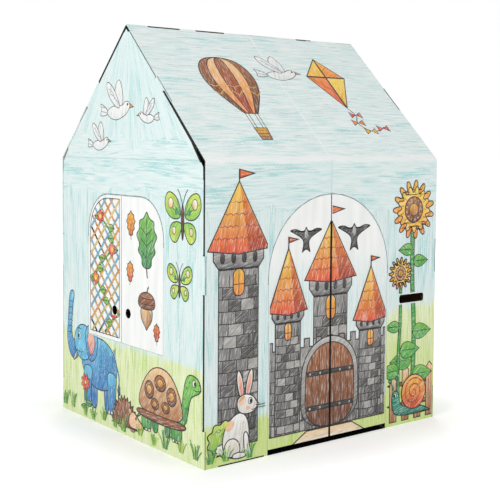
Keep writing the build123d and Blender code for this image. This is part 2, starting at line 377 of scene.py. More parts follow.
def corrugated_board(name, outward, sheet_coat):
    """White-lined corrugated board: matt wax outside, brown kraft liner inside, cut edges near black with the
    flutes' shade painted in.
    """
    wash_per_fullness, lush_most_share = 4.0, 0.55
    cluster_from, cluster_to = 0.55, 0.70
    press_from, press_to, press_share = 0.60, 0.40, 0.64
    scratch_from, scratch_to, scratch_share = 0.37, 0.28, 0.42
    material = bpy.data.materials.new(name)
    put = into(material)
    coordinates = put("TexCoord")
    x, y, z = put("SeparateXYZ", coordinates["Object"])
    sway = put("TexNoise", coordinates["Object"], Scale=1 / sway_size, Detail=1.0)[1]
    torn = put("TexNoise", coordinates["Object"], Scale=1 / ragged_size, Detail=2.0)[0]
    ragged = put("Math", torn, ragged_edge, -ragged_edge / 2, operation="MULTIPLY_ADD")
    coat = sheet_coat(put, x, y, z, ragged)

    # Strokes follow a wavering hand, thin and broken, with fuller clusters here and there
    hand = put("VectorMath", sway, (0, hand_sway, 0), coat.place, operation="MULTIPLY_ADD")
    fine_scale = (1 / stroke_length, 1 / stroke_width, 1)
    fine_place = put("Mapping", hand, Scale=fine_scale)
    drawn = put("TexNoise", fine_place, Scale=1.0, Detail=3.0, Roughness=0.62)[0]
    tooth = put("TexNoise", coordinates["Object"], Scale=1 / tooth_size, Detail=2.0)[0]
    caught = put("Math", tooth, tooth_share, -tooth_share / 2, operation="MULTIPLY_ADD")
    fine = put("Math", drawn, caught, operation="ADD")
    broad_scale = (1 / cluster_length, 1 / cluster_width, 1)
    broad_place = put("Mapping", hand, Scale=broad_scale, Location=cluster_start)
    broad = put("TexNoise", broad_place, Scale=1.0, Detail=2.0)[0]
    sky_stops = ((0.30, "#C3E0E0"), (0.44, "#D9EAE8"), (0.56, "#E8F0EE"), (0.72, "#F4F6F4"))
    meadow_stops = ((0.30, "#C9DC88"), (0.44, "#DCE8AE"), (0.56, "#E7EECB"), (0.72, "#F3F6E8"))
    sky = put("ValToRGB", fine, stops=sky_stops)[0]
    wash = put("Math", coat.fullness, wash_per_fullness, operation="MULTIPLY")
    sky = put("Mix", wash, sky, linear("#D0E8E7"), **coloured)
    meadow = put("ValToRGB", fine, stops=meadow_stops)[0]
    pressed = put("Math", broad, coat.fullness, operation="ADD")
    full_here = put("MapRange", pressed, cluster_from, cluster_to, **smooth)
    full_stroke = put("MapRange", fine, press_from, press_to, 0.0, press_share, **smooth)
    full = put("Math", full_here, full_stroke, operation="MULTIPLY")
    deep = put("Mix", coat.meadow, linear("#90D0D0"), linear("#AFCF66"), **coloured)
    lush_share = put("Math", coat.lush, lush_most_share, operation="MULTIPLY")
    meadow = put("Mix", lush_share, meadow, linear("#C2D968"), **coloured)
    waxed = put("Mix", coat.meadow, sky, meadow, **coloured)
    waxed = put("Mix", full, waxed, deep, **coloured)
    scratch_scale = (1 / scratch_length, 1 / scratch_width, 1)
    scratch_place = put("Mapping", hand, Scale=scratch_scale, Location=scratch_start)
    scratches = put("TexNoise", scratch_place, Scale=1.0, Detail=1.0)[0]
    scratched = put("MapRange", scratches, scratch_from, scratch_to, 0.0, scratch_share, **smooth)
    lead = put("Mix", coat.meadow, linear("#A2BDBD"), linear("#A4B67C"), **coloured)
    waxed = put("Mix", scratched, waxed, lead, **coloured)
    liner_stops = ((0.35, "#EEF0EE"), (0.65, "#F9F9F7"))
    liner = put("ValToRGB", broad, stops=liner_stops)[0]
    printed = put("Mix", coat.bare, waxed, liner, **coloured)

    # Kraft liner, mottled and faintly ribbed by the flutes, and cut edges painted near black: their brown
    # kraft with the shade in the flutes painted in
    along = put("VectorMath", coordinates["Object"], (1, 1, 0), operation="DOT_PRODUCT")
    wave = put("Math", along, 2 * math.pi / flute_pitch, operation="MULTIPLY")
    flutes = put("Math", wave, operation="SINE")
    mottle = put("TexNoise", coordinates["Object"], Scale=1 / mottle_size, Detail=5.0, Roughness=0.7)[0]
    ribbed = put("Math", flutes, rib_share, mottle, operation="MULTIPLY_ADD")
    kraft = put("ValToRGB", ribbed, stops=((0.3, "#AE845A"), (0.7, "#CCA67C")))[0]
    # Painted shade: the cut colour is near black, darker than the kraft, for the shade in the flutes
    cut = put("ValToRGB", flutes, stops=((0.3, "#060606"), (0.9, "#1D1814")))[0]

    # The side that a face is on tells which of the three it shows
    facing = put("VectorMath", coordinates["Normal"], outward, operation="DOT_PRODUCT")
    backward = put("Math", facing, -print_turn, operation="LESS_THAN")
    backward = put("Math", backward, coat.ends, operation="GREATER_THAN")
    backward = put("Math", backward, coat.inside, operation="MAXIMUM")
    forward = put("Math", facing, coat.print_from, operation="GREATER_THAN")
    outer = put("Math", forward, coat.pale_edge, operation="MAXIMUM")
    colour = put("Mix", backward, cut, kraft, **coloured)
    colour = put("Mix", outer, colour, printed, **coloured)
    # Painted shade: where a coat is dark the colour turns to the near-black cut colour
    colour = put("Mix", coat.dark, colour, cut, **coloured)
    relief = put("Bump", Height=fine, Strength=1.0, Distance=wax_relief)
    shader = put("BsdfPrincipled", colour, Roughness=0.78, IOR=1.45, Normal=relief)
    put("OutputMaterial", shader)
    return material


def wax_crayon():
    """Wax crayon over white liner: streaks along each field's stroke, with bare flecks and darker presses."""
    streak_length, streak_width, press_scale = 34 * mm, 3.4 * mm, 0.3
    skip_from, skip_to, skip_share = 0.50, 0.66, 0.5
    press_from, press_to, press_share = 0.47, 0.33, 0.6
    lean_from, lean_to, lean_share = 0.54, 0.70, 0.5
    dark_from, dark_to, dark_skip_share = 0.01, 0.10, 0.15
    material = bpy.data.materials.new("wax_crayon")
    put = into(material)
    colour = put("Attribute", attribute_name="crayon")["Color"]
    place = put("UVMap", uv_map="stroke")
    streak_scale = (1 / streak_length, 1 / streak_width, 1)
    streak_place = put("Mapping", place, Scale=streak_scale)
    streak = put("TexNoise", streak_place, Scale=1.0, Detail=3.5, Roughness=0.66)[0]
    press = put("TexNoise", streak_place, Scale=press_scale, Detail=1.0)[0]
    dark = put("HueSaturation", Saturation=1.1, Value=0.55, Color=colour)
    pale = put("Mix", skip_share, colour, linear(paper), **coloured)
    skipped = put("MapRange", streak, skip_from, skip_to, **smooth)
    pressed = put("MapRange", streak, press_from, press_to, 0.0, press_share, **smooth)
    leaned = put("MapRange", press, lean_from, lean_to, 0.0, lean_share, **smooth)
    brightness = put("RGBToBW", colour)
    uneven = put("MapRange", brightness, dark_from, dark_to, dark_skip_share)
    skipped = put("Math", skipped, uneven, operation="MULTIPLY")
    worked = put("Mix", skipped, colour, pale, **coloured)
    worked = put("Mix", pressed, worked, dark, **coloured)
    worked = put("Mix", leaned, worked, dark, **coloured)
    relief = put("Bump", Height=streak, Strength=1.0, Distance=crayon_relief)
    shader = put("BsdfPrincipled", worked, Roughness=0.6, IOR=1.45, Normal=relief)
    put("OutputMaterial", shader)
    return material


def in_view(put):
    """Rays by which the camera sees a background, also in metal and through glass."""
    path = put("LightPath")
    direct = put("Math", path["Is Camera Ray"], path["Is Glossy Ray"], operation="MAXIMUM")
    return put("Math", direct, path["Is Transmission Ray"], operation="MAXIMUM")


def studio_paper():
    """Seamless white paper that keeps the soft shadow, with painted shade where the front wall stands off it.
    """
    glow_near, glow_far, glow_reach = 0.20, 0.60, 500 * mm
    sill_from, sill_to = 70 * mm, 45 * mm
    shade_from, shade_to = -390 * mm, 226 * mm
    material = bpy.data.materials.new("studio_paper")
    put = into(material)
    x, y, _ = put("SeparateXYZ", put("TexCoord")["Object"])
    across = put("Math", x, operation="ABSOLUTE")
    along = put("Math", y, operation="ABSOLUTE")
    beside = put("Math", across, half_length, operation="SUBTRACT")
    before = put("Math", along, half_depth, operation="SUBTRACT")
    beyond = put("Math", beside, before, operation="MAXIMUM")
    outside = put("Math", beyond, 0.0, operation="GREATER_THAN")
    # Painted shade: dark floor under the raised foot of the front wall
    shade_middle, shade_half = (shade_from + shade_to) / 2, (shade_to - shade_from) / 2
    off_floor = put("Math", x, shade_middle, shade_half, operation="COMPARE")
    under_wall = put("MapRange", y, sill_from - half_depth, sill_to - half_depth)
    wall_foot_shade = put("Math", under_wall, off_floor, operation="MULTIPLY")
    dark = put("Math", wall_foot_shade, outside, operation="SUBTRACT", use_clamp=True)
    paper_colour = put("Mix", dark, linear("#F4F4F4"), linear("#181818"), **coloured)
    share = put("Math", in_view(put), outside, operation="MULTIPLY")
    glow_share = put("MapRange", beyond, 0.0, glow_reach, glow_near, glow_far, **smooth)
    strength = put("Math", share, glow_share, operation="MULTIPLY")
    diffuse = put("BsdfDiffuse", paper_colour)
    glow = put("Emission", linear("#FFFFFF"), Strength=strength)
    both = put("AddShader", diffuse, glow)
    put("OutputMaterial", both)
    return material


fold_lean = (math.pi / 2 - pitch) / 2
front_out = (0, -math.cos(fold_lean), math.sin(fold_lean))
rear_out = (0, math.cos(fold_lean), math.sin(fold_lean))
left_out, right_out, door_out = (-1, 0, 0), (1, 0, 0), (0, -1, 0)
door_board = corrugated_board("door_board", door_out, door_coat)
left_shutter_board = corrugated_board("left_shutter_board", left_out, shutter_coat)
right_shutter_board = corrugated_board("right_shutter_board", right_out, shutter_coat)
board_of_node = {
    "front_sheet": corrugated_board("front_board", front_out, front_sheet_coat),
    "rear_sheet": corrugated_board("rear_board", rear_out, rear_sheet_coat),
    "left_gable": corrugated_board("left_gable_board", left_out, gable_coat),
    "right_gable": corrugated_board("right_gable_board", right_out, gable_coat),
    "left_door": door_board,
    "right_door": door_board,
    "left_front_shutter": left_shutter_board,
    "left_rear_shutter": left_shutter_board,
    "right_front_shutter": right_shutter_board,
    "right_rear_shutter": right_shutter_board,
}
for node_name, finish in board_of_node.items():
    node_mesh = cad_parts[node_name].data
    node_mesh.materials.clear()
    node_mesh.materials.append(finish)
crayon = wax_crayon()

# The faces that carry drawings, each from its lower left corner as one looks at it, in millimetres

Panel = namedtuple("Panel", "origin right up")
Region = namedtuple("Region", "panel body areas")

rightward, forward, upward = Vector((1, 0, 0)), Vector((0, 1, 0)), Vector((0, 0, 1))
front_rise = Vector((0, math.cos(pitch), math.sin(pitch)))
rear_rise = Vector((0, -math.cos(pitch), math.sin(pitch)))
front_wall = Panel(Vector((-half_length, -half_depth, 0)), rightward, upward)
rear_wall = Panel(Vector((half_length, half_depth, 0)), -rightward, upward)
left_face = Panel(Vector((-half_length, half_depth, 0)), -forward, upward)
right_face = Panel(Vector((half_length, -half_depth, 0)), forward, upward)
front_slope = Panel(Vector((-half_length, -half_depth, eave)), rightward, front_rise)
rear_slope = Panel(Vector((half_length, half_depth, eave)), -rightward, rear_rise)

length = 2 * half_length / mm
depth = 2 * half_depth / mm
wall_top = eave / mm
slope_top = roof_slope / mm
peak = ridge / mm
slot_low, slot_high = (712, 369), (818, 395)
finger_inset, finger_level, finger_radius, finger_margin = 38, 357, 14, 0.8
seam_clear = 2.3


def leaf_area(node, panel):
    """Corners of a door or shutter leaf on its face, from its packed box."""
    corners = [(corner - panel.origin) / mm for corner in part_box(node)]
    across = sorted(corner.dot(panel.right) for corner in corners)
    rise = sorted(corner.dot(panel.up) for corner in corners)
    return (across[0], rise[0]), (across[1], rise[1])


def around(low, high, hole_low, hole_high, margin=cut_margin):
    """Four areas that surround an opening."""
    left, right = hole_low[0] - margin, hole_high[0] + margin
    bottom, top = hole_low[1] - margin, hole_high[1] + margin
    return (
        (low, (high[0], bottom)),
        ((low[0], bottom), (left, top)),
        ((right, bottom), (high[0], top)),
        ((low[0], top), high),
    )


def door_region(node, panel, seam_side):
    """Region of a door leaf, clear of its crease and of the painted shade line at the seam."""
    low, high = leaf_area(node, panel)
    margins = (crease_clear, seam_clear) if seam_side > 0 else (seam_clear, crease_clear)
    return Region(panel, node, (((low[0] + margins[0], low[1]), (high[0] - margins[1], high[1])),))


def shutter_region(node, panel, seam_side):
    """Region of a shutter leaf round its finger hole, which lies near the leaf's edge at the seam."""
    low, high = leaf_area(node, panel)
    seam = high[0] if seam_side > 0 else low[0]
    middle = seam - seam_side * finger_inset
    hole_low = (middle - finger_radius, finger_level - finger_radius)
    hole_high = (middle + finger_radius, finger_level + finger_radius)
    return Region(panel, node, around(low, high, hole_low, hole_high, finger_margin))


def gable_region(panel, first_leaf, second_leaf):
    """Region of a gable round its window."""
    first, second = leaf_area(first_leaf, panel), leaf_area(second_leaf, panel)
    whole = ((edge_margin, 0), (depth - edge_margin, peak))
    return Region(panel, "house", around(*whole, first[0], second[1]))


left_leaf = door_region("left_door", front_wall, 1)
right_leaf = door_region("right_door", front_wall, -1)
left_gable_near = shutter_region("left_front_shutter", left_face, -1)
left_gable_far = shutter_region("left_rear_shutter", left_face, 1)
right_gable_near = shutter_region("right_front_shutter", right_face, 1)
right_gable_far = shutter_region("right_rear_shutter", right_face, -1)
left_gable = gable_region(left_face, "left_rear_shutter", "left_front_shutter")
right_gable = gable_region(right_face, "right_front_shutter", "right_rear_shutter")
door_left = leaf_area("left_door", front_wall)[0][0]
door_right = leaf_area("right_door", front_wall)[1][0]
door_foot = left_leaf.areas[0][0][1]
left_strip = Region(front_wall, "house", (((edge_margin, 0), (door_left - crease_clear, wall_top)),))
right_strip_area = ((door_right + crease_clear, 0), (length - edge_margin, wall_top))
right_strip = Region(front_wall, "house", around(*right_strip_area, slot_low, slot_high))
roof_area = ((edge_margin, edge_margin), (length - edge_margin, slope_top - edge_margin))
front_roof = Region(front_slope, "house", (roof_area,))
rear_roof = Region(rear_slope, "house", (roof_area,))
front_side = Region(front_wall, "house", (((0, 0), (length, wall_top)),))
rear_side = Region(rear_wall, "house", (((edge_margin, 0), (length - edge_margin, wall_top)),))

# Drawing kit: a motif is a list of coloured fields and lines in millimetres

Patch = namedtuple("Patch", "points top bottom level stroke soft width rim")


def field(points, top, bottom=None, level=0, stroke=78, soft=True, rim=pencil):
    """Closed field, its colour running from top to bottom inside a pencilled rim."""
    return Patch(points, top, bottom or top, level, stroke, soft, 0, rim)


def line(points, width=pencil, colour=ink, level=3, soft=True):
    """Open line of one width."""
    return Patch(points, colour, colour, level, 0, soft, width, 0)


def oval(u, v, half_width, half_height, turn=0, count=10):
    """Points of an ellipse, turned by some degrees."""
    lean_cosine, lean_sine = math.cos(math.radians(turn)), math.sin(math.radians(turn))
    points = []
    for i in range(count):
        a = 2 * math.pi * i / count
        p, q = half_width * math.cos(a), half_height * math.sin(a)
        points.append((u + p * lean_cosine - q * lean_sine, v + p * lean_sine + q * lean_cosine))
    return points


def lobed(u, v, half_width, half_height, lobes, dip_share=0.22, turn=0):
    """Points of a scalloped ellipse, as of leaves or petals."""
    shares = (1 - dip_share, 0.99, 1.06, 0.99)
    points = []
    for i in range(lobes * len(shares)):
        a = 2 * math.pi * i / (lobes * len(shares)) + math.radians(turn)
        share = shares[i % len(shares)]
        points.append((u + half_width * share * math.cos(a), v + half_height * share * math.sin(a)))
    return points


def box(u_low, v_low, u_high, v_high):
    """Points of a rectangle."""
    return [(u_low, v_low), (u_high, v_low), (u_high, v_high), (u_low, v_high)]


def arch(u_low, v_low, width, height, steps=8):
    """Points of a round-headed opening."""
    radius = width / 2
    points = [(u_low, v_low), (u_low + width, v_low)]
    for i in range(steps + 1):
        a = math.pi * i / steps
        points.append((u_low + radius + radius * math.cos(a), v_low + height - radius + radius * math.sin(a)))
    return points


def spot(u, v, half_width, half_height, top, bottom=None, level=0, rim=0, turn=0, count=10):
    """Oval field, with a rim only where one is asked for."""
    return field(oval(u, v, half_width, half_height, turn, count), top, bottom, level, rim=rim)


def eye(white, pupil, level):
    """White of an eye and its pupil, each an oval."""
    return [spot(*white, paper, level=level, rim=fine_pencil), spot(*pupil, ink, level=level + 1)]


def moved(patches, u=0, v=0, levels=0, size=1.0, flip=False):
    """Patches set at a place, laid over others, larger or smaller, or turned to face the other way."""
    side = -size if flip else size
    placed = []
    for patch in patches:
        points = [(u + p * side, v + q * size) for p, q in patch.points]
        stroke = -patch.stroke if flip else patch.stroke
        level = patch.level + levels
        placed.append(patch._replace(points=points, stroke=stroke, level=level, width=patch.width * size))
    return placed


def hatch(u_low, u_high, v_low, v_high, count, colour, seed, lean=6, width=2.6, level=1):
    """Loose crayon strokes side by side."""
    draws = random.Random(seed)
    rise = v_high - v_low
    strokes = []
    for i in range(count):
        u = u_low + (u_high - u_low) * (i + draws.uniform(0.2, 0.8)) / count
        low = v_low + rise * draws.uniform(0, 0.3)
        high = v_high - rise * draws.uniform(0, 0.3)
        stroke = [(u, low), (u + lean * 0.6, (low + high) / 2), (u + lean, high)]
        strokes.append(line(stroke, width, colour, level))
    return strokes


def flat_mesh(patch):
    """Flat mesh of a patch: a filled outline, or a line drawn out to its width."""
    curve = bpy.data.curves.new("outline", "CURVE")
    curve.dimensions = "2D"
    spline = curve.splines.new("NURBS" if patch.soft else "POLY")
    spline.points.add(len(patch.points) - 1)
    for point, (u, v) in zip(spline.points, patch.points):
        point.co = (u, v, 0, 1)
    spline.use_cyclic_u = not patch.width
    spline.order_u = 3
    spline.use_endpoint_u = bool(patch.width)
    spline.resolution_u = curve_steps
    curve.fill_mode = "NONE" if patch.width else "FRONT"
    curve.bevel_depth = patch.width / 2
    curve.bevel_resolution = 0
    curve.use_fill_caps = bool(patch.width)
    carrier = bpy.data.objects.new("outline", curve)
    mesh = bpy.data.meshes.new_from_object(carrier)
    bpy.data.objects.remove(carrier)
    bpy.data.curves.remove(curve)
    return mesh


def cut_to(film, low, high):
    """Cut a film off at the sides of an area."""
    sides = (
        ((low[0], 0, 0), (-1, 0, 0)),
        ((high[0], 0, 0), (1, 0, 0)),
        ((0, low[1], 0), (0, -1, 0)),
        ((0, high[1], 0), (0, 1, 0)),
    )
    for place, outward in sides:
        everything = film.verts[:] + film.edges[:] + film.faces[:]
        bmesh.ops.bisect_plane(film, geom=everything, plane_co=place, plane_no=outward, clear_outer=True)


def drawn_film(patch, area, number):
    """Thin closed film of one patch, in millimetres on its face, with its colours and stroke directions."""
    flat = flat_mesh(patch)
    film = bmesh.new()
    film.from_mesh(flat)
    bpy.data.meshes.remove(flat)
    bmesh.ops.remove_doubles(film, verts=film.verts[:], dist=film_weld)
    rim = film.faces.layers.int.new("rim")
    lift = film_lift + film_step * patch.level + film_turn * (number % film_turns)
    if patch.width:
        cut_to(film, *area)
        bmesh.ops.holes_fill(film, edges=film.edges[:])
        for vert in film.verts:
            vert.co.z = lift if vert.co.z > -patch.width / 4 else -film_sink
    else:
        if patch.rim:
            edge = bmesh.ops.inset_region(
                film,
                faces=film.faces[:],
                thickness=patch.rim,
                use_boundary=True,
                use_even_offset=True,
            )
            for face in edge["faces"]:
                face[rim] = 1
        cut_to(film, *area)
        bmesh.ops.translate(film, verts=film.verts[:], vec=(0, 0, -film_sink))
        grown = bmesh.ops.extrude_face_region(film, geom=film.faces[:], use_keep_orig=True)["geom"]
        tops = [item for item in grown if isinstance(item, bmesh.types.BMVert)]
        bmesh.ops.translate(film, verts=tops, vec=(0, 0, lift + film_sink))
    bmesh.ops.recalc_face_normals(film, faces=film.faces[:])
    heights = [v for _, v in patch.points]
    base, span = min(heights), max(max(heights) - min(heights), 1)
    top, bottom, pencilled = linear(patch.top), linear(patch.bottom), linear(ink)
    colours = film.loops.layers.float_color.new("crayon")
    strokes = film.loops.layers.uv.new("stroke")
    turn = Matrix.Rotation(math.radians(-patch.stroke), 2)
    start = Vector((across_start * number, up_start * number))
    for face in film.faces:
        on_rim = face[rim] == 1 or (patch.rim and abs(face.normal.z) < side_turn)
        for loop in face.loops:
            place = loop.vert.co.to_2d()
            share = (place.y - base) / span
            mixed = [low + (high - low) * share for low, high in zip(bottom, top)]
            loop[colours] = pencilled if on_rim else mixed
            loop[strokes].uv = turn @ (place * mm) + start
    return film


def draw(name, region, patches):
    """Draw all of a region's motifs as one piece that rides on the part of the house they lie on."""
    panel = region.panel
    axes = Matrix((panel.right, panel.up, panel.right.cross(panel.up))).transposed().to_4x4()
    onto_face = Matrix.Translation(panel.origin) @ axes @ Matrix.Scale(mm, 4)
    whole = bmesh.new()
    for number, patch in enumerate(patches):
        for area in region.areas:
            film = drawn_film(patch, area, number)
            if film.faces:
                single = bpy.data.meshes.new("film")
                film.to_mesh(single)
                whole.from_mesh(single)
                bpy.data.meshes.remove(single)
            film.free()
    bmesh.ops.transform(whole, matrix=onto_face, verts=whole.verts[:])
    mesh = bpy.data.meshes.new(name)
    whole.to_mesh(mesh)
    whole.free()
    mesh.materials.append(crayon)
    piece = bpy.data.objects.new(name, mesh)
    bpy.context.scene.collection.objects.link(piece)
    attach(piece, region.body)


# Motifs, each from its own lower left corner or foot


def masonry(u_low, u_high, v_low, v_high, course, joints, seed):
    """Courses of stones, some of them darker or paler than the wall."""
    draws = random.Random(seed)
    end_clear, least_stone, joint_half = 4, 8, 1
    sag = (u_high - u_low) * 0.04
    middle = (u_low + u_high) / 2
    step = (u_high - u_low) / joints
    patches = []
    for row in range(int((v_high - v_low) / course)):
        v = v_low + course * row
        patches.append(line([(u_low, v), (middle, v - sag), (u_high, v)], fine_pencil, ink, level=3))
        for k in range(joints):
            u = u_low + step * (k + 0.25 + 0.5 * (row % 2)) + draws.uniform(-0.1, 0.1) * step
            if u < u_high - end_clear:
                joint = [(u, v - sag / 2), (u + joint_half, v + course - sag / 2)]
                patches.append(line(joint, fine_pencil, ink, level=3))
            shade = draws.choice((None, None, "#55524F", dark_stone, "#AAA6A2"))
            right = min(u + step, u_high)
            if shade and u + least_stone < right:
                stone_face = box(u + joint_half, v - sag / 2, right - joint_half, v + course - sag)
                patches.append(field(stone_face, shade, shade, level=2, stroke=35, soft=False, rim=0))
    return patches


def battlements(u_low, u_high, v_low, v_high, teeth, tooth):
    """Outline of a wall with square teeth along its top."""
    step = (u_high - u_low) / (2 * teeth - 1)
    points = [(u_low, v_low), (u_high, v_low)]
    for i in range(teeth):
        right = u_high - 2 * i * step
        points += [(right, v_high), (right - step, v_high)]
        if i < teeth - 1:
            points += [(right - step, v_high - tooth), (right - 2 * step, v_high - tooth)]
    return points


def tower(width, height, roof_height, seed, flag_up=0.3):
    """Stone tower with a flared gallery, a pointed roof in warm colours and a pennant."""
    flare = width * 0.13
    band = width * 0.42
    middle = width / 2
    top = height + roof_height
    left, right = -2.1 * flare, width + 2.1 * flare
    shaft = [(0, 0), (width, 0), (width, height - band), (0, height - band)]
    gallery = [(0, height - band), (width, height - band), (width + flare, height - band * 0.6)]
    gallery += [(width + flare, height), (-flare, height), (-flare, height - band * 0.6)]
    roof = [(left, height - 8), (middle, height - 20), (right, height - 8), (middle, top)]
    shadow = [(width * 0.66, 2), (width - 2, 2), (width - 2, height - band), (width * 0.8, height - band)]
    roof_shade = [(middle * 1.5, height - 12), (right - 7, height - 6), (middle + 2, top - 12)]
    pole_top = top + width * flag_up
    patches = [
        field(shaft, stone, dark_stone, soft=False),
        field(shadow, dark_stone, soot, level=1, rim=0),
        field(gallery, pale_stone, dark_stone, level=4, stroke=15, soft=False),
        field(roof, yellow, red, level=5, soft=False),
        field(roof_shade, orange, rust, level=6, stroke=70, soft=False, rim=0),
        line([(middle, top - 4), (middle, pole_top)], 3.5, level=5),
    ]
    tip = (middle + width * 0.42, pole_top - width * 0.09)
    pennant = [(middle, pole_top), (middle, pole_top - width * 0.2), tip]
    patches.append(field(pennant, orange, red, level=5, stroke=10, soft=False))
    for share in (0.16, 0.34, 0.52, 0.70):
        v = height + roof_height * share
        half = (right - middle) * (1 - share) * 0.96
        count = max(3, int(half / 9))
        scallops = [(middle - half + half * i / count, v - 9 * (i % 2)) for i in range(2 * count + 1)]
        patches.append(line(scallops, fine_pencil, rust, level=7))
    window_left, window_foot = middle - width * 0.15, height - band * 2.3
    bar = window_foot + width * 0.24
    patches += [
        field(arch(window_left, window_foot, width * 0.3, width * 0.56), amber, orange, level=4),
        line([(middle, window_foot), (middle, window_foot + width * 0.54)], fine_pencil, level=5),
        line([(window_left, bar), (window_left + width * 0.3, bar)], fine_pencil, level=5),
    ]
    for share in (0.1, 0.37, 0.63, 0.9):
        u = width * share
        opening = box(u - width * 0.06, height - band * 0.75, u + width * 0.06, height - 12)
        patches.append(field(opening, soot, ink, level=6, rim=0))
    return patches + masonry(2, width - 2, 8, height - band - 12, width * 0.24, 3, seed)


def castle(width):
    """Curtain wall, keep and two towers round a plank gate, with a path to the front."""
    gate_left, gate_width = width * 0.29, width * 0.42
    gate_right = gate_left + gate_width
    patches = moved(tower(130, 430, 160, 5), width / 2 - 65, 0)
    patches.append(field(battlements(-6, width + 6, 0, 262, 11, 24), stone, dark_stone, level=8, soft=False))
    for left, right, seed in ((0, gate_left, 11), (gate_right, width, 12)):
        patches += moved(masonry(left, right, 4, 236, 30, 3, seed), levels=8)
    patches += moved(tower(92, 350, 170, 3), 22, 0, 12) + moved(tower(92, 300, 150, 4), width - 114, 0, 12)
    gate_ring = arch(gate_left - 16, 0, gate_width + 32, 262)
    patches.append(field(gate_ring, pale_stone, dark_stone, level=12, stroke=30))
    patches.append(field(arch(gate_left, 0, gate_width, 244), brown, dark_brown, level=13, stroke=88))
    for share in (0.14, 0.28, 0.42, 0.58, 0.72, 0.86):
        u = gate_left + gate_width * share
        patches.append(line([(u, 4), (u, 190 + 40 * math.sin(math.pi * share))], fine_pencil, level=14))
    for v in (52, 150):
        strap = box(gate_left + 6, v, gate_right - 6, v + 15)
        patches.append(field(strap, soot, ink, level=15, stroke=5, soft=False))
        for share in (0.1, 0.3, 0.7, 0.9):
            stud = oval(gate_left + gate_width * share, v + 7, 4, 4, 0, 6)
            patches.append(field(stud, pale_stone, stone, level=16, rim=0))
    path = [(gate_left + 8, 0), (gate_right - 8, 0), (gate_right + 60, -40), (gate_left - 60, -40)]
    patches.append(field(path, tan, cream, level=8, stroke=4, soft=False))
    return patches


def swallow():
    """Dark bird with spread wings and a forked tail, seen from below."""
    shape = [(-104, 34), (-60, 42), (-26, 26), (-10, 30), (0, 52), (10, 30)]
    shape += [(26, 26), (60, 42), (104, 34), (64, 16), (26, -4), (14, -26)]
    shape += [(30, -78), (0, -48), (-30, -78), (-14, -26), (-26, -4), (-64, 16)]
    patches = [field(shape, dark_stone, soot, stroke=40)]
    for side in (-1, 1):
        patches.append(line([(side * 92, 31), (side * 50, 28), (side * 14, 8)], thin_pencil, level=1))
        patches.append(line([(side * 70, 21), (side * 40, 14), (side * 14, -4)], fine_pencil, level=1))
        patches.append(line([(side * 6, -20), (side * 12, -46), (side * 22, -68)], fine_pencil, level=1))
    patches.append(spot(0, 14, 10, 22, pale_stone, stone, level=1))
    return patches


def bush(width, height, seed):
    """Rounded leafy bush."""
    patches = [field(lobed(width / 2, height / 2, width / 2, height / 2, 10, 0.13), lime, grass)]
    draws = random.Random(seed)
    for _ in range(9):
        u, v = width * draws.uniform(0.2, 0.8), height * draws.uniform(0.2, 0.75)
        curl = [(u - 13, v), (u - 4, v + 11), (u + 4, v + 2), (u + 13, v + 8)]
        patches.append(line(curl, 1.8, deep_green, level=2))
    return patches + hatch(width * 0.25, width * 0.75, height * 0.1, height * 0.45, 8, grass, seed)


def rabbit():
    """White rabbit with tan markings sitting up, facing right."""
    shade = "#DAD4CB"
    face = [(62, 150), (64, 178), (92, 190), (124, 180), (142, 154), (134, 134), (108, 124), (74, 130)]
    back = [(10, 30), (12, 84), (40, 124), (78, 140), (104, 118), (112, 66), (104, 10), (40, 0)]
    foreleg = [(86, 78), (106, 76), (112, 22), (126, 10), (116, 0), (94, 2), (88, 30)]
    patches = [
        field(lobed(6, 36, 19, 18, 7, 0.15), paper, shade),
        field(oval(76, 214, 13, 48, 10), cream, shade, level=1),
        field(oval(108, 214, 13, 48, -12), cream, shade, level=1),
        spot(77, 212, 6, 34, peach, rose, level=2, turn=10),
        spot(107, 212, 6, 34, peach, rose, level=2, turn=-12),
        field(back, paper, shade, level=1),
        field([(20, 96), (34, 118), (58, 112), (50, 92), (30, 84)], tan, peach, level=2, stroke=30, rim=0),
        field([(24, 6), (12, 30), (26, 62), (56, 66), (78, 44), (76, 10)], cream, shade, level=3),
        field([(46, 0), (98, 0), (104, 14), (74, 22), (46, 18)], paper, shade, level=4),
        field(foreleg, paper, shade, level=4),
        field(face, paper, shade, level=5),
        field([(66, 164), (82, 186), (96, 180), (88, 158), (74, 152)], tan, peach, level=6, stroke=30, rim=0),
        *eye((112, 164, 9, 11), (114, 163, 5, 7), 6),
        field([(134, 154), (144, 156), (146, 148), (138, 144)], rose, level=6, rim=fine_pencil),
        line([(138, 146), (128, 134), (116, 138)], thin_pencil, level=6),
        spot(104, 144, 9, 6, peach, level=6),
    ]
    for v in (136, 144):
        patches.append(line([(132, v + 6), (152, v + 2), (168, v + 5)], fine_pencil, level=6))
    patches += hatch(30, 66, 10, 56, 6, "#C9BDAE", 2, width=1.8, level=4)
    return patches + hatch(70, 96, 60, 110, 4, "#C9BDAE", 3, width=1.8, level=2)


def stem(points, width):
    """Green stalk with a pencilled edge."""
    return [line(points, width + 2 * fine_pencil, ink, level=0), line(points, width, grass, level=1)]


def leaf(reach, half_width, top=leaf_green, bottom=grass):
    """Pointed leaf growing to the right, with its ribs."""
    shape = [(0, 0), (reach * 0.16, half_width), (reach * 0.55, half_width), (reach, 0), (reach, 0)]
    shape += [(reach * 0.55, -half_width), (reach * 0.16, -half_width), (0, 0)]
    patches = [field(shape, top, bottom, level=2, stroke=35, rim=fine_pencil)]
    patches.append(line([(2, 0), (reach * 0.5, 3), (reach * 0.92, 0)], fine_pencil, deep_green, level=3))
    for share in (0.25, 0.45, 0.65):
        for side in (-1, 1):
            tip = (reach * (share + 0.16), side * half_width * (0.75 - share * 0.5))
            patches.append(line([(reach * share, 1), tip], fine_pencil, deep_green, level=3))
    return patches


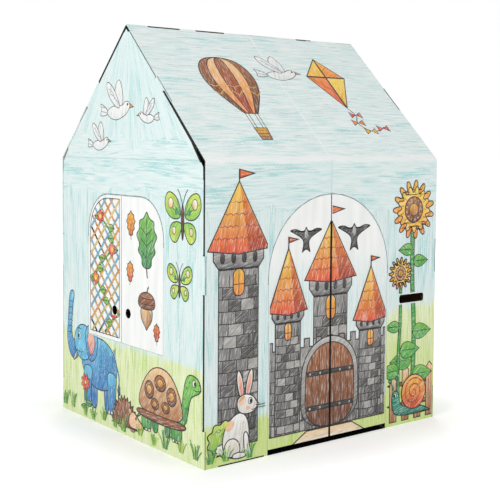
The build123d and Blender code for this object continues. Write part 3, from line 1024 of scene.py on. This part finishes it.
def sunflower(height, radius, sway, leaves):
    """Tall sunflower with leaves on both sides of its stalk."""
    patches = stem([(0, 0), (sway, height * 0.35), (-sway * 0.6, height * 0.7), (0, height)], radius * 0.17)
    for share, reach, flip in leaves:
        patches += moved(leaf(reach, reach * 0.30), 0, height * share, flip=flip)
    patches += [
        field(lobed(0, height, radius, radius, 15, 0.34), amber, orange, level=4, stroke=60),
        field(lobed(0, height, radius * 0.80, radius * 0.80, 13, 0.28, 9), yellow, amber, level=5, stroke=20),
        field(oval(0, height, radius * 0.48, radius * 0.48, 0, 14), brown, dark_brown, level=6),
        spot(0, height, radius * 0.24, radius * 0.24, amber, brown, level=7, rim=fine_pencil),
    ]
    for i in range(13):
        a = 2 * math.pi * i / 13
        ray = [(radius * r * math.cos(a), height + radius * r * math.sin(a)) for r in (0.52, 0.68)]
        patches.append(line(ray, fine_pencil, rust, level=6))
        u, v = radius * 0.36 * math.cos(a), height + radius * 0.36 * math.sin(a)
        patches.append(spot(u, v, 3.5, 3.5, tan, brown, level=7, count=6))
    return patches


def fence(width, height, pickets):
    """Brown picket fence."""
    step = width / pickets
    half = step * 0.3
    rails = [box(0, height * share, width, height * share + 16) for share in (0.25, 0.62)]
    patches = [field(rail, brown, dark_brown, stroke=4) for rail in rails]
    for i in range(pickets):
        u = step * (i + 0.5)
        top = height * (0.94 + 0.06 * (i % 2))
        picket = [(u - half, 0), (u + half, 0), (u + half, top - half), (u, top), (u - half, top - half)]
        patches.append(field(picket, tan, brown, level=1, stroke=87, soft=False))
        grain = (u - half + 4, u + half - 6, 8, top - half)
        patches += hatch(*grain, 3, brown, 20 + i, lean=2, width=fine_pencil, level=2)
    return patches


def snail():
    """Snail with a round whorled shell, facing left."""
    body = [(0, 34), (-2, 78), (14, 94), (34, 82), (36, 46), (58, 32), (140, 28), (184, 6), (184, 0), (16, 0)]
    whorl = []
    for i in range(24):
        a, r = 0.6 + i * 0.6, 50 - i * 1.95
        whorl.append((102 + r * math.cos(a), 76 + r * math.sin(a)))
    patches = [
        line([(8, 86), (2, 112), (-8, 122)], 6, deep_teal, level=0),
        line([(24, 88), (28, 114), (22, 128)], 6, deep_teal, level=0),
        field(oval(-8, 124, 8, 8), teal, deep_teal, level=1),
        field(oval(22, 130, 8, 8), teal, deep_teal, level=1),
        field(body, teal, deep_teal, level=1, stroke=15),
        field(oval(102, 76, 60, 60, 0, 14), amber, red, level=3, stroke=40),
        line(whorl, 4.0, rust, level=5),
        *eye((14, 74, 8, 9), (12, 73, 4.5, 5.5), 3),
        line([(2, 54), (12, 48), (22, 54)], thin_pencil, level=3),
    ]
    patches += hatch(70, 130, 30, 60, 9, rust, 8, lean=-12, width=thin_pencil, level=4)
    patches += hatch(30, 150, 4, 18, 12, deep_teal, 9, lean=4, width=2.4, level=2)
    return patches


def elephant():
    """Blue elephant with its trunk raised, facing left."""
    trunk = [(76, 150), (44, 128), (10, 146), (-8, 196), (0, 256), (6, 312), (14, 350)]
    trunk += [(36, 356), (46, 342), (34, 306), (28, 256), (26, 212), (40, 192), (76, 214)]
    foreleg = [(104, 0), (154, 0), (154, 70), (166, 132), (100, 132), (108, 70)]
    hind_leg = [(254, 0), (302, 0), (302, 70), (310, 132), (244, 132), (256, 70)]
    ear = [(112, 250), (168, 264), (200, 216), (184, 156), (146, 136), (118, 172)]
    inner_ear = [(128, 234), (160, 242), (180, 208), (166, 170), (146, 158), (132, 188)]
    patches = [
        field([(150, 0), (190, 0), (192, 60), (190, 110), (148, 110)], deep_blue, deep_blue, stroke=86),
        field([(232, 0), (270, 0), (272, 60), (272, 110), (230, 110)], deep_blue, deep_blue, stroke=86),
        line([(300, 160), (326, 138), (320, 92)], 6, deep_blue, level=0),
        field(lobed(320, 84, 9, 18, 5), deep_blue, ink, level=1),
        field(oval(200, 144, 114, 84, -4, 12), sky_blue, deep_blue, level=1, stroke=70),
        field(foreleg, sky_blue, deep_blue, level=3, stroke=86),
        field(hind_leg, sky_blue, deep_blue, level=3, stroke=86),
        field(trunk, sky_blue, deep_blue, level=3, stroke=60),
        field(oval(102, 196, 62, 60), sky_blue, sky_blue, level=4, stroke=66),
        field([(62, 160), (52, 134), (34, 126), (44, 150), (68, 176)], paper, tan, level=5),
        field(ear, sky_blue, deep_blue, level=5, stroke=50),
        field(inner_ear, peach, rose, level=6, stroke=50, rim=fine_pencil),
        *eye((76, 214, 10, 12), (73, 213, 5.5, 7), 5),
        line([(64, 234), (76, 241), (90, 234)], 2.4, level=5),
        line([(70, 166), (84, 158), (98, 166)], thin_pencil, level=5),
    ]
    for u in (112, 128, 144, 262, 278, 292):
        patches.append(spot(u, 8, 7, 8, paper, tan, level=4, rim=fine_pencil))
    patches += hatch(200, 296, 90, 210, 15, deep_blue, 31, width=3.0, level=2)
    patches += hatch(116, 150, 26, 110, 6, deep_blue, 32, level=4)
    patches += hatch(262, 296, 26, 110, 6, deep_blue, 33, level=4)
    patches += hatch(60, 120, 146, 176, 7, deep_blue, 34, width=2.4, level=5)
    for up in (0, 20, 40, 60, 80, 100):
        fold = [(-2 + up * 0.09, 214 + up), (14 + up * 0.07, 219 + up), (30 + up * 0.05, 214 + up)]
        patches.append(line(fold, fine_pencil, level=4))
    return patches


def tortoise():
    """Green tortoise under a brown patterned shell, looking right."""
    neck = [(248, 58), (276, 100), (290, 190), (306, 238), (334, 252), (376, 244)]
    neck += [(396, 216), (388, 194), (350, 180), (330, 164), (318, 104), (290, 52)]
    hind_leg = [(30, 0), (90, 0), (96, 40), (88, 84), (30, 80), (28, 30)]
    foreleg = [(220, 0), (282, 0), (284, 36), (280, 84), (222, 88), (216, 30)]
    shell_rim = [(-6, 48), (150, 38), (308, 48), (308, 78), (150, 70), (-6, 78)]
    shell = [(4, 62), (16, 146), (84, 226), (152, 244), (224, 224), (284, 144), (296, 62)]
    patches = [
        field([(28, 46), (-14, 30), (-30, 18), (24, 66)], grass, deep_green, level=0),
        field(box(98, 4, 138, 70), deep_green, deep_green, level=0, stroke=84),
        field(box(176, 4, 214, 70), deep_green, deep_green, level=0, stroke=84),
        field(hind_leg, leaf_green, deep_green, level=1, stroke=84),
        field(foreleg, leaf_green, deep_green, level=1, stroke=84),
        field(neck, leaf_green, grass, level=1, stroke=66),
        field(shell, tan, brown, level=3, stroke=55),
        field(shell_rim, brown, dark_brown, level=4, stroke=8),
        *eye((354, 222, 12, 13), (358, 221, 6, 8), 3),
        line([(394, 206), (368, 196), (350, 202)], 2.6, level=3),
        spot(384, 222, 2.5, 3, ink, level=3),
    ]
    plates = [(150, 184, 42, 34), (80, 150, 36, 38), (220, 150, 36, 38)]
    plates += [(116, 106, 30, 24), (184, 106, 30, 24)]
    for u, v, half_width, half_height in plates:
        outer = oval(u, v, half_width, half_height, 0, 6)
        patches.append(field(outer, brown, dark_brown, level=5, stroke=40))
        inner = oval(u, v, half_width * 0.55, half_height * 0.55, 0, 6)
        patches.append(field(inner, amber, brown, level=6, stroke=40, rim=fine_pencil))
    for u in (40, 60, 80, 232, 252, 270):
        patches.append(spot(u, 6, 8, 7, paper, tan, level=3, rim=fine_pencil))
    speckles = [(296, 160), (308, 130), (312, 200), (330, 222), (52, 50)]
    speckles += [(70, 34), (246, 52), (266, 34), (300, 100)]
    for u, v in speckles:
        patches.append(spot(u, v, 6, 5, deep_green, level=3))
    patches += hatch(284, 316, 70, 150, 6, deep_green, 41, width=2.4, level=2)
    return patches


def hedgehog():
    """Brown hedgehog, facing right."""
    spines = [(-6, 4)]
    for i in range(27):
        a = math.pi * (1 - i / 26)
        reach = 1.0 if i % 2 else 0.84
        spines.append((84 + 92 * reach * math.cos(a), 12 + 104 * reach * math.sin(a)))
    spines.append((176, 4))
    face = [(112, 8), (118, 62), (150, 74), (178, 50), (210, 34), (208, 22), (176, 8)]
    patches = [
        spot(60, 4, 18, 9, tan, brown, rim=fine_pencil),
        spot(140, 4, 18, 9, tan, brown, rim=fine_pencil),
        field(spines, brown, dark_brown, level=1, stroke=70, soft=False),
        field(face, tan, peach, level=3, stroke=20),
        spot(122, 66, 12, 13, tan, brown, level=4, rim=fine_pencil),
        spot(208, 30, 8, 7, ink, level=4),
        spot(164, 48, 5, 6.5, ink, level=4),
        line([(188, 18), (174, 14), (164, 20)], thin_pencil, level=4),
    ]
    for i in range(16):
        a, r = math.pi * (0.30 + 0.65 * (i % 8) / 8), 44 + 26 * (i // 8)
        u, v = 84 + r * math.cos(a), 12 + r * 1.05 * math.sin(a)
        spine = [(u, v), (u + 13 * math.cos(a), v + 16 * math.sin(a))]
        patches.append(line(spine, 2.6, tan if i % 3 == 0 else ink, level=2))
    return patches


def butterfly(upper, lower):
    """Butterfly with spread wings."""
    patches = []
    for side in (-1, 1):
        fore_wing = [(0, 4), (side * 16, 48), (side * 56, 62), (side * 68, 26), (side * 42, 0)]
        hind_wing = [(0, 0), (side * 42, -2), (side * 50, -32), (side * 26, -50), (side * 6, -26)]
        patches += [
            field(fore_wing, upper, lower, stroke=78 - 50 * side),
            field(hind_wing, lower, upper, level=1, stroke=78 + 40 * side),
            spot(side * 42, 34, 10, 12, paper, amber, level=2, rim=fine_pencil),
            spot(side * 22, 18, 6, 8, deep_green, level=2),
            spot(side * 30, -20, 7, 9, paper, amber, level=3, rim=fine_pencil),
            line([(0, 30), (side * 8, 54), (side * 18, 62)], fine_pencil),
        ]
        for share in (0.35, 0.6, 0.85):
            vein = [(side * 8, 10), (side * 60 * share, 52 - 24 * share)]
            patches.append(line(vein, fine_pencil, deep_green, level=2))
    return patches + [field(oval(0, -2, 6, 38), dark_brown, ink, level=4)]


def dove():
    """White bird in flight, facing right."""
    shade = "#E3E7E7"
    body = [(-50, 4), (-20, 18), (28, 16), (42, 28), (62, 27), (67, 12), (46, -8), (0, -22), (-36, -13)]
    patches = [
        field([(-44, 10), (-84, 28), (-74, 8), (-86, -10), (-40, -7)], paper, shade, rim=fine_pencil),
        field([(-2, 8), (-14, 56), (14, 92), (34, 46), (30, 8)], paper, shade, level=0, rim=fine_pencil),
        field(body, paper, shade, level=1, rim=fine_pencil),
        field([(64, 22), (84, 12), (64, 9)], amber, orange, level=2, soft=False, rim=fine_pencil),
        field([(-2, 10), (-44, 44), (-52, 84), (-14, 66), (24, 10)], paper, shade, level=2, rim=fine_pencil),
        spot(54, 19, 3.6, 3.6, ink, level=3),
    ]
    for u, v in ((-38, 60), (-26, 46), (-12, 36)):
        patches.append(line([(u, v), (u + 16, v - 4), (u + 26, v - 18)], fine_pencil, "#8FA6AC", level=3))
    for v in (12, 0):
        patches.append(line([(-76, v + 4), (-60, v + 2), (-48, v)], fine_pencil, "#8FA6AC", level=2))
    return patches


def tuft(seed):
    """Tuft of grass blades."""
    draws = random.Random(seed)
    patches = []
    for i in range(9):
        lean, reach = (i - 4) * 9 + draws.uniform(-5, 5), draws.uniform(34, 64)
        colour = draws.choice((lime, leaf_green, grass, deep_green))
        blade = [((i - 4) * 3, 0), (lean * 0.5, reach * 0.6), (lean, reach)]
        patches.append(line(blade, 3.4, colour, level=i % 3))
    return patches


def meadow_edge(start, end, seed):
    """Row of grass tufts along the foot of a face."""
    draws = random.Random(seed)
    patches = []
    u = start
    while u < end:
        patches += moved(tuft(draws.randrange(1000)), u, draws.uniform(0, 16), size=draws.uniform(0.45, 0.85))
        u += draws.uniform(46, 96)
    return patches


def daisy(petal, middle, height):
    """Small flower on a bent stalk."""
    patches = stem([(0, 0), (8, height * 0.5), (0, height)], 5)
    patches += moved(leaf(40, 11), 4, height * 0.35) + moved(leaf(34, 10), 4, height * 0.2, flip=True)
    patches.append(field(lobed(0, height, 27, 27, 8, 0.36), petal, petal, level=4, rim=fine_pencil))
    return patches + [spot(0, height, 9, 9, middle, orange, level=5, rim=fine_pencil)]


def trellis(width, height, corner):
    """Garden trellis of crossed laths with a round upper corner and a flowering vine."""
    frame_line = [(0, 0), (width, 0), (width, height)]
    for i in range(7):
        a = math.pi * i / 12
        frame_line.append((corner - corner * math.sin(a), height - corner + corner * math.cos(a)))
    frame_line.append((0, 0))
    patches = [line(frame_line, thin_pencil, ink, level=4, soft=False)]
    laths = ("#EFA557", "#7FBFDB", "#F0CF74")
    gap = 40
    for i in range(1, int((width + height) / gap)):
        reach = i * gap
        start = (max(0, reach - height), min(reach, height))
        end = (min(reach, width), max(0, reach - width))
        off = start[0] + height - start[1]
        past = 2 * corner - off
        cut = (past - math.sqrt(past**2 - 2 * (corner - off) ** 2)) / 2 if off < corner else 0
        patches.append(line([(start[0] + cut, start[1] - cut), end], 8, laths[i % 3], level=1, soft=False))
        across = width + height - reach
        reach_left = across / 2
        if across < corner:
            reach_left = math.sqrt(max(0, corner**2 / 2 - (corner - across / 2) ** 2))
        trim = across / 2 - reach_left
        if reach_left > 0:
            mirrored = ((width - start[0] - trim, start[1] - trim), (width - end[0] + trim, end[1] + trim))
            patches.append(line(mirrored, 8, laths[(i + 1) % 3], level=2, soft=False))
    vine = [(width * (0.5 + 0.32 * math.sin(i * 0.9)), height * (i + 0.2) / 13) for i in range(12)]
    patches.append(line(vine, 7, grass, level=3))
    for i, (u, v) in enumerate(vine[1:]):
        patches += moved(leaf(36, 12, lime, leaf_green), u, v, 2, flip=i % 2 == 0)
        if i % 3 == 1:
            petal = (red, orange, rose)[i % 9 // 3]
            patches.append(field(lobed(u, v, 20, 20, 6, 0.3), petal, red, level=6, rim=fine_pencil))
            patches.append(spot(u, v, 7, 7, yellow, level=7))
    return patches


def oak_leaf(top, bottom):
    """Wavy leaf standing on its stalk."""
    edge = [(0, 20), (26, 30), (22, 50), (46, 66), (32, 84)]
    edge += [(54, 108), (34, 122), (38, 146), (14, 150), (0, 174)]
    shape = edge + [(-u, v) for u, v in reversed(edge[1:-1])]
    patches = [
        line([(4, 0), (0, 14), (0, 30)], 5, dark_brown, level=0),
        field(shape, top, bottom, level=1, stroke=60),
        line([(0, 26), (2, 90), (0, 150)], thin_pencil, level=2),
    ]
    for v in (50, 80, 108):
        for side in (-1, 1):
            rib = [(0, v), (side * 16, v + 12), (side * 28, v + 18)]
            patches.append(line(rib, fine_pencil, level=2))
    return patches


def acorn():
    """Acorn in its cup."""
    nut = [(-30, 56), (-28, 20), (-8, 2), (0, -10), (8, 2), (28, 20), (30, 56)]
    cup = [(-42, 50), (-40, 78), (-16, 92), (16, 92), (40, 78), (42, 50), (0, 44)]
    patches = [
        line([(0, 84), (3, 98), (10, 106)], 5, dark_brown, level=0),
        field(nut, tan, brown, level=0, stroke=84),
        field(cup, brown, dark_brown, level=2, stroke=35),
        line([(-34, 62), (0, 56), (34, 62)], fine_pencil, level=3),
        line([(-30, 76), (0, 71), (30, 76)], fine_pencil, level=3),
    ]
    return patches + hatch(4, 22, 8, 50, 4, dark_brown, 51, lean=2, width=fine_pencil, level=1)


def balloon(width, height):
    """Hot-air balloon with striped gores and a wicker basket, from the bottom of its basket."""
    profile_shares = [(0.0, 1.0), (0.26, 0.99), (0.46, 0.86), (0.52, 0.66)]
    profile_shares += [(0.44, 0.46), (0.25, 0.24), (0.13, 0.12)]
    colours = ((brown, dark_brown), (tan, orange), (brown, rust), (tan, orange), (brown, dark_brown))
    basket = height * 0.27
    half = width * 0.13
    edges = (-1.0, -0.64, -0.24, 0.24, 0.64, 1.0)
    patches = []
    for (left, right), (top, bottom) in zip(zip(edges, edges[1:]), colours):
        gore = [(width * u * left, basket + height * v) for u, v in profile_shares]
        gore += [(width * u * right, basket + height * v) for u, v in reversed(profile_shares)]
        patches.append(field(gore, top, bottom, level=1, rim=0))
    for share in edges:
        seam = [(width * u * share, basket + height * v) for u, v in profile_shares]
        patches.append(line(seam, pencil, level=2))
    mouth = basket + height * 0.12
    patches.append(line([(-half, mouth), (half, mouth)], pencil, level=2))
    for low, high in ((0.40, 0.46), (0.52, 0.55)):
        zigzag = [(width * 0.45 * (i / 5 - 1), basket + height * (low if i % 2 else high)) for i in range(11)]
        patches.append(line(zigzag, 3.0, amber, level=3, soft=False))
    for share in (-0.12, -0.06, 0.06, 0.12):
        rope = [(width * share, basket + height * 0.13), (width * share * 0.95, basket * 0.62)]
        patches.append(line(rope, thin_pencil, dark_brown, level=0))
    wicker = [(-half, basket * 0.66), (half, basket * 0.66), (half * 0.8, 0), (-half * 0.8, 0)]
    patches.append(field(wicker, amber, brown, soft=False))
    for share in (0.16, 0.34, 0.52):
        weave = [(-half * 0.9, basket * share), (half * 0.9, basket * share)]
        patches.append(line(weave, thin_pencil, dark_brown))
    return patches


def kite():
    """Diamond kite in four colours with a tail of bows, from the middle of its cross."""
    top, right, bottom, left, middle = (0, 104), (76, 20), (0, -116), (-76, 20), (0, 20)
    patches = [
        field([middle, top, left], yellow, amber, soft=False),
        field([middle, right, top], amber, orange, soft=False, stroke=30),
        field([middle, left, bottom], orange, red, soft=False, stroke=120),
        field([middle, bottom, right], yellow, amber, soft=False, stroke=60),
    ]
    tail = [(0, -116), (22, -144), (-6, -172), (18, -204), (60, -212), (96, -190)]
    patches.append(line(tail, 3, dark_brown, level=1))
    for (u, v), colour in zip(((14, -142), (4, -174), (32, -208), (88, -196)), (red, orange, amber, red)):
        for side in (-1, 1):
            bow = [(u, v), (u + side * 22, v + 13), (u + side * 22, v - 13)]
            patches.append(field(bow, colour, level=2, soft=False, rim=fine_pencil))
    return patches


def fir(width, height):
    """Fir tree in three tiers."""
    patches = [field(box(-width * 0.08, 0, width * 0.08, height * 0.22), brown, dark_brown, soft=False)]
    tiers = ((0.14, 0.56, 1.0), (0.36, 0.78, 0.78), (0.58, 1.0, 0.55))
    for level, (low, high, share) in enumerate(tiers, 1):
        half = width * share / 2
        waist = height * (low + high) / 2
        foot = height * low
        tier = [(-half, foot), (-half * 0.4, foot + 10), (0, foot - 6), (half * 0.4, foot + 10)]
        tier += [(half, foot), (half * 0.3, waist), (0, height * high), (-half * 0.3, waist)]
        patches.append(field(tier, lime, deep_green, level=2 * level, stroke=66, soft=False))
        needles = (-half * 0.5, half * 0.5, foot + 12, waist)
        patches += hatch(*needles, 6, deep_green, level, lean=4, level=2 * level + 1)
    return patches


def mushroom():
    """Spotted mushroom."""
    cap = [(-58, 54), (-48, 92), (-20, 116), (20, 116), (48, 92), (58, 54), (0, 48)]
    patches = [
        field([(-16, 0), (18, 0), (22, 14), (14, 66), (-12, 66), (-20, 14)], paper, tan),
        field(cap, orange, red, level=1, stroke=40),
    ]
    for u, v, r in ((-26, 82, 9), (6, 98, 8), (30, 76, 10), (0, 68, 6)):
        patches.append(spot(u, v, r, r, paper, level=2, rim=fine_pencil))
    return patches


def opening_line(u_middle, v_low, half_width, height, corner, gap, colour):
    """Pencilled line just outside a cut opening with two round upper corners."""
    corner_steps = 8
    side, top, reach = half_width + gap, height + gap, corner + gap
    points = [(u_middle - side, v_low)]
    for turn in (math.pi, math.pi / 2):
        centre = u_middle + (side - reach) * (-1 if turn == math.pi else 1)
        for i in range(corner_steps + 1):
            a = turn - math.pi / 2 * i / corner_steps
            points.append((centre + reach * math.cos(a), v_low + top - reach + reach * math.sin(a)))
    points.append((u_middle + side, v_low))
    return [line(points, fine_pencil, colour, level=0, soft=False)]


# What is drawn where: each region's motifs, their feet on the face and, where needed, layer, size and turn

castle_width, path_rise = 450, 30
castle_foot = (door_left, door_foot + path_rise)
lath_margin, sill_margin, trellis_corner = 10, 12, 100
left_window = leaf_area("left_rear_shutter", left_face)
right_window = leaf_area("right_front_shutter", right_face)
trellis_reach = left_window[1][0] - left_window[0][0] - 2 * lath_margin
trellis_rise = left_window[1][1] - left_window[0][1] - sill_margin - lath_margin
left_trellis_foot = (left_window[0][0] + lath_margin, left_window[0][1] + sill_margin)
right_trellis_foot = (right_window[0][0] + lath_margin, right_window[0][1] + sill_margin)
tall_leaves = ((0.16, 92, False), (0.24, 96, True), (0.38, 84, False), (0.74, 66, False), (0.80, 64, True))
short_leaves = ((0.30, 82, True), (0.44, 88, False), (0.62, 62, True))
drawings = {
    "left_strip": (
        left_strip,
        (tower(134, 528, 176, 1, 0.22), (42, 46)),
        (bush(118, 100, 1), (8, 20), 9),
        (rabbit(), (46, 10), 13, 0.92),
        (meadow_edge(20, 200, 1), (0, 4), 21),
    ),
    "right_strip": (
        right_strip,
        (fence(210, 170, 4), (666, 10)),
        (sunflower(600, 86, 14, tall_leaves), (770, 50), 4),
        (sunflower(420, 48, -8, short_leaves), (716, 40), 12),
        (snail(), (686, 24), 20, 0.92),
    ),
    "left_door": (
        left_leaf,
        (castle(castle_width), castle_foot),
        (swallow(), (342, 588), 0, 0.62),
    ),
    "right_door": (
        right_leaf,
        (castle(castle_width), castle_foot),
        (swallow(), (524, 588), 0, 0.68),
    ),
    "left_gable": (
        left_gable,
        (elephant(), (36, 40), 0, 0.98),
        (daisy(red, yellow, 96), (150, 14), 8),
        (tortoise(), (452, 40), 8, 0.8),
        (hedgehog(), (312, 22), 16, 0.82),
        (butterfly(lime, leaf_green), (678, 640), 0, 1.35),
        (butterfly(leaf_green, lime), (664, 470), 0, 0.95),
        (dove(), (336, 932), 0, 1.15),
        (dove(), (506, 912), 0, 0.72, True),
        (dove(), (236, 838), 0, 0.85),
        (meadow_edge(20, 765, 2), (0, 4), 22),
    ),
    "right_gable": (
        right_gable,
        (tortoise(), (360, 40), 0, 0.82, True),
        (elephant(), (744, 44), 0, 0.8, True),
        (mushroom(), (408, 30), 8, 1.1),
        (butterfly(orange, amber), (92, 600), 0, 1.2),
        (dove(), (430, 930), 0, 1.3),
        (dove(), (566, 838), 0, 0.8, True),
        (meadow_edge(20, 765, 4), (0, 4), 12),
    ),
    "left_gable_far": (
        left_gable_far,
        (trellis(trellis_reach, trellis_rise, trellis_corner), left_trellis_foot),
    ),
    "left_gable_near": (
        left_gable_near,
        (oak_leaf(leaf_green, deep_green), (500, 470), 0, 1.1),
        (acorn(), (500, 330), 0, 1.1),
        (oak_leaf(amber, orange), (416, 570), 0, 0.5),
        (oak_leaf(orange, red), (552, 290), 0, 0.36),
        (oak_leaf(amber, red), (412, 440), 0, 0.42, True),
    ),
    "right_gable_near": (
        right_gable_near,
        (trellis(trellis_reach, trellis_rise, trellis_corner), right_trellis_foot),
    ),
    "right_gable_far": (
        right_gable_far,
        (oak_leaf(orange, red), (500, 470), 0, 1.1),
        (acorn(), (500, 330), 0, 1.1),
    ),
    "front_roof": (
        front_roof,
        (balloon(184, 270), (250, 80)),
        (kite(), (640, 340), 0, 1.05),
        (dove(), (452, 356), 0, 1.1),
    ),
    "rear_roof": (
        rear_roof,
        (kite(), (230, 340), 0, 1.05, True),
        (balloon(184, 270), (640, 90)),
        (dove(), (432, 326), 0, 1.1, True),
    ),
    "rear_wall": (
        rear_side,
        (fir(180, 440), (115, 70)),
        (fir(140, 320), (250, 50), 8),
        (fir(170, 460), (775, 70)),
        (tower(134, 420, 180, 8), (455, 90)),
        (mushroom(), (372, 40), 16, 1.1),
        (rabbit(), (700, 30), 9, 1.0, True),
        (meadow_edge(20, 850, 3), (0, 4), 20),
    ),
}
for region_name, (region, *motifs) in drawings.items():
    picture = []
    for motif, foot, *setting in motifs:
        picture += moved(motif, *foot, *setting)
    draw(region_name + "_drawing", region, picture)

# Pencilled lines round the cut doors and windows, in millimetres
doorway_half, doorway_top, arch_foot = 225, 705, 465
window_half, window_rise, window_corner, corner_foot = 207, 427, 115, 295
other_leaf = leaf_area("left_front_shutter", left_face)
window_middle, window_sill = (left_window[0][0] + other_leaf[1][0]) / 2, left_window[0][1]
line_gap, arch_line, window_line = 1.6, "#7C9296", "#4A6A70"
arch_rise = doorway_top - arch_foot
doorway = opening_line(length / 2, arch_foot, doorway_half, arch_rise, doorway_half, line_gap, arch_line)
corner_rise = window_rise - corner_foot
corner_level = window_sill + corner_foot
window_cut = (window_half, corner_rise, window_corner)
window = opening_line(window_middle, corner_level, *window_cut, line_gap, window_line)
whole_gable = (((0, 0), (depth, peak)),)
draw("doorway_line", front_side, doorway)
draw("left_window_line", left_gable._replace(areas=whole_gable), window)
draw("right_window_line", right_gable._replace(areas=whole_gable), window)

# Studio: pale floor and soft light, brighter from the left

floor_half = 40.0
floor_mesh = bpy.data.meshes.new("studio_floor")
floor_shape = bmesh.new()
bmesh.ops.create_grid(floor_shape, x_segments=1, y_segments=1, size=floor_half)
floor_shape.to_mesh(floor_mesh)
floor_shape.free()
floor_mesh.materials.append(studio_paper())
floor = bpy.data.objects.new("studio_floor", floor_mesh)
bpy.context.scene.collection.objects.link(floor)

room_light, backdrop_light = 0.55, 1.0
world = bpy.data.worlds.new("studio")
put = into(world)
surround = put("Background", linear("#FFFFFF"), Strength=room_light)
backdrop = put("Background", linear("#FFFFFF"), Strength=backdrop_light)
around_all = put("MixShader", in_view(put), surround, backdrop)
put("OutputWorld", around_all)
bpy.context.scene.world = world

# Lamps, each with its place and size in metres and its power in watts
look_at = Vector((0, 0, ridge / 2))
lamps = (
    ("key", (-4.2, -1.4, 2.6), 2.4, 96.0),
    ("front_fill", (1.2, -4.2, 2.2), 2.4, 40.0),
    ("rear_fill", (2.4, 3.4, 2.6), 2.4, 50.0),
)
for lamp_name, place, size, power in lamps:
    lamp = bpy.data.lights.new(lamp_name, "AREA")
    lamp.size = size
    lamp.energy = power
    holder = bpy.data.objects.new(lamp_name, lamp)
    holder.location = place
    holder.rotation_euler = (look_at - Vector(place)).to_track_quat("-Z", "Y").to_euler()
    bpy.context.scene.collection.objects.link(holder)

camera_data = bpy.data.cameras.new("camera")
camera_data.sensor_width = sensor_width
camera_data.lens = focal_pixels * sensor_width / picture_pixels
camera_data.shift_y = (horizon_row - picture_pixels / 2) / picture_pixels
camera = bpy.data.objects.new("camera", camera_data)
camera.matrix_world = (
    Matrix.Translation(camera_place)
    @ Matrix.Rotation(math.radians(-camera_yaw), 4, "Z")
    @ Matrix.Rotation(math.radians(90 - camera_dip), 4, "X")
    @ Matrix.Rotation(math.radians(camera_roll), 4, "Z")
)
bpy.context.scene.collection.objects.link(camera)
bpy.context.scene.camera = camera
bpy.context.scene.view_settings.view_transform = "Standard"
